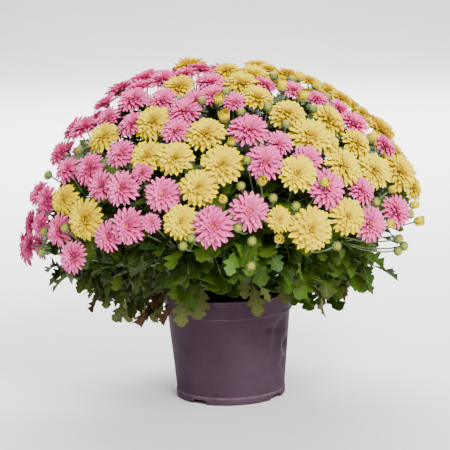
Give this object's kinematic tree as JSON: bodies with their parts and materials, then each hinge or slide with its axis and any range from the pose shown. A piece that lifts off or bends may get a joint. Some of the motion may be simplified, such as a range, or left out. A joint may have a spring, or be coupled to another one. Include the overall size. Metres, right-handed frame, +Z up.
{
  "type": "pot chrysanthemum",
  "caption": "Garden chrysanthemum in bloom, a broad dome of pink and yellow double flowers over lobed leaves, in a tapered dark plastic nursery pot.",
  "frame": {"origin": "centre of the flat pad under the middle of the pot, on the surface that the pot stands on", "axes": "+Z up through the middle of the pot, -Y towards the side that the picture shows, +X to its right"},
  "size_m": [0.5182, 0.5342, 0.435],
  "materials": {
    "pot_plastic": "satin dark purple-brown polypropylene, slightly dented",
    "soil": "dark crumbly peat soil",
    "leaf_green": "dull green leaf blades and stems",
    "pink_petals": "soft pink petals, paler at the edges, on green stalks",
    "yellow_petals": "bright yellow petals, deeper towards the middle, on green stalks"
  },
  "bodies": {
    "root": {"pot": "pot_plastic", "soil": "soil", "leafy_stem_01": "leaf_green", "leafy_stem_02": "leaf_green", "leafy_stem_03": "leaf_green", "leafy_stem_04": "leaf_green", "leafy_stem_05": "leaf_green", "leafy_stem_06": "leaf_green", "leafy_stem_07": "leaf_green", "leafy_stem_08": "leaf_green", "leafy_stem_09": "leaf_green", "leafy_stem_10": "leaf_green", "leafy_stem_11": "leaf_green", "leafy_stem_12": "leaf_green", "pink_spray_01": "pink_petals", "pink_spray_02": "pink_petals", "pink_spray_03": "pink_petals", "pink_spray_04": "pink_petals", "pink_spray_05": "pink_petals", "pink_spray_06": "pink_petals", "pink_spray_07": "pink_petals", "pink_spray_08": "pink_petals", "pink_spray_09": "pink_petals", "pink_spray_10": "pink_petals", "pink_spray_11": "pink_petals", "pink_spray_12": "pink_petals", "pink_spray_13": "pink_petals", "pink_spray_14": "pink_petals", "pink_spray_15": "pink_petals", "pink_spray_16": "pink_petals", "pink_spray_17": "pink_petals", "pink_spray_18": "pink_petals", "pink_spray_19": "pink_petals", "pink_spray_20": "pink_petals", "pink_spray_21": "pink_petals", "yellow_spray_01": "yellow_petals", "yellow_spray_02": "yellow_petals", "yellow_spray_03": "yellow_petals", "yellow_spray_04": "yellow_petals", "yellow_spray_05": "yellow_petals", "yellow_spray_06": "yellow_petals", "yellow_spray_07": "yellow_petals", "yellow_spray_08": "yellow_petals", "yellow_spray_09": "yellow_petals", "yellow_spray_10": "yellow_petals", "yellow_spray_11": "yellow_petals", "yellow_spray_12": "yellow_petals", "yellow_spray_13": "yellow_petals", "yellow_spray_14": "yellow_petals", "yellow_spray_15": "yellow_petals", "yellow_spray_16": "yellow_petals", "yellow_spray_17": "yellow_petals", "yellow_spray_18": "yellow_petals", "yellow_spray_19": "yellow_petals", "yellow_spray_20": "yellow_petals", "yellow_spray_21": "yellow_petals", "yellow_spray_22": "yellow_petals", "yellow_spray_23": "yellow_petals"}
  },
  "joints": []
}
